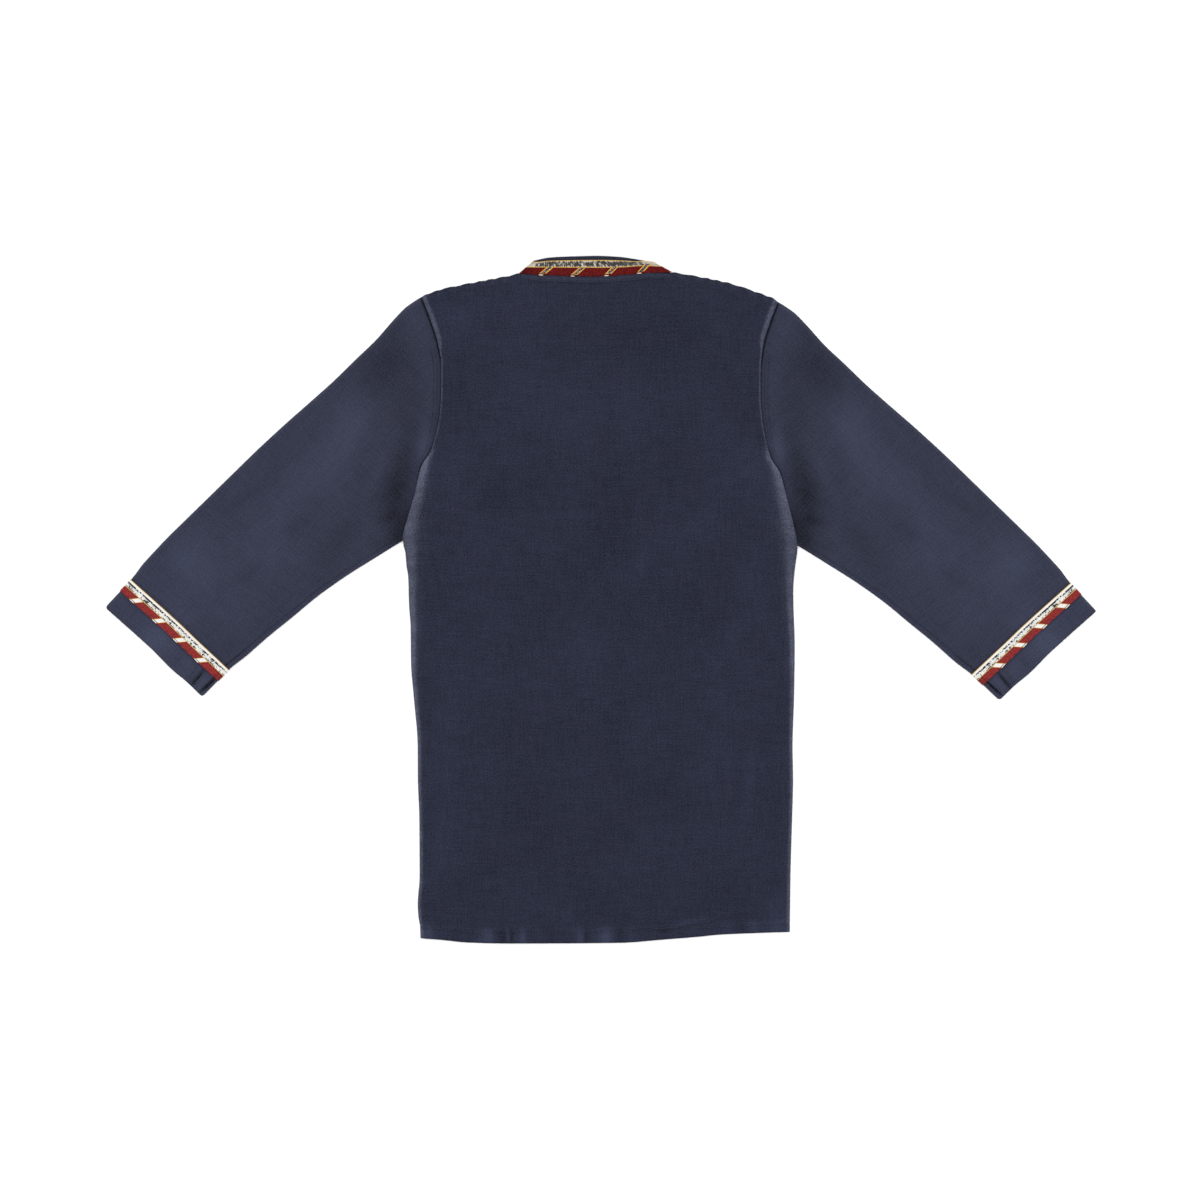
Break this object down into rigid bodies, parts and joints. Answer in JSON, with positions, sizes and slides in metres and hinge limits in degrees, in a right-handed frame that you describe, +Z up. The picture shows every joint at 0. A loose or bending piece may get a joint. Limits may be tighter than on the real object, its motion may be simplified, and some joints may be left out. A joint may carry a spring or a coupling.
{
  "type": "kurta laid flat",
  "caption": "Child's long-sleeved kurta in navy slub cotton, laid flat back side up, with a band collar and woven silver and red braid round the collar and cuffs.",
  "frame": {"origin": "middle of the kurta's box, on the surface that it lies on", "axes": "+Z up off the surface, +Y from the hem towards the collar, +X to the right as seen from above, which is the wearer's right because the back is up"},
  "size_m": [0.9914, 0.6874, 0.0061],
  "materials": {
    "body_cloth": "matt navy slub plain weave",
    "sleeve_cloth": "matt navy slub plain weave, a little paler",
    "braid_silver": "silver metallic thread with dark flecks and gold edges",
    "braid_red": "deep red satin thread",
    "braid_bar": "pale silver bar edged with gold thread",
    "button": "navy, slightly glossy"
  },
  "bodies": {
    "root": {"back": "body_cloth", "front": "body_cloth", "sleeve_left": "sleeve_cloth", "sleeve_right": "sleeve_cloth", "collar": "body_cloth", "placket_over": "body_cloth", "placket_under": "body_cloth", "button_1": "button", "button_2": "button", "button_3": "button", "collar_braid_silver": "braid_silver", "collar_braid_red": "braid_red", "collar_bar_1": "braid_bar", "collar_bar_2": "braid_bar", "collar_bar_3": "braid_bar", "collar_bar_4": "braid_bar", "cuff_left_braid_silver": "braid_silver", "cuff_left_braid_red": "braid_red", "cuff_left_bar_1": "braid_bar", "cuff_left_bar_2": "braid_bar", "cuff_left_bar_3": "braid_bar", "cuff_left_bar_4": "braid_bar", "cuff_right_braid_silver": "braid_silver", "cuff_right_braid_red": "braid_red", "cuff_right_bar_1": "braid_bar", "cuff_right_bar_2": "braid_bar", "cuff_right_bar_3": "braid_bar", "cuff_right_bar_4": "braid_bar"}
  },
  "joints": []
}
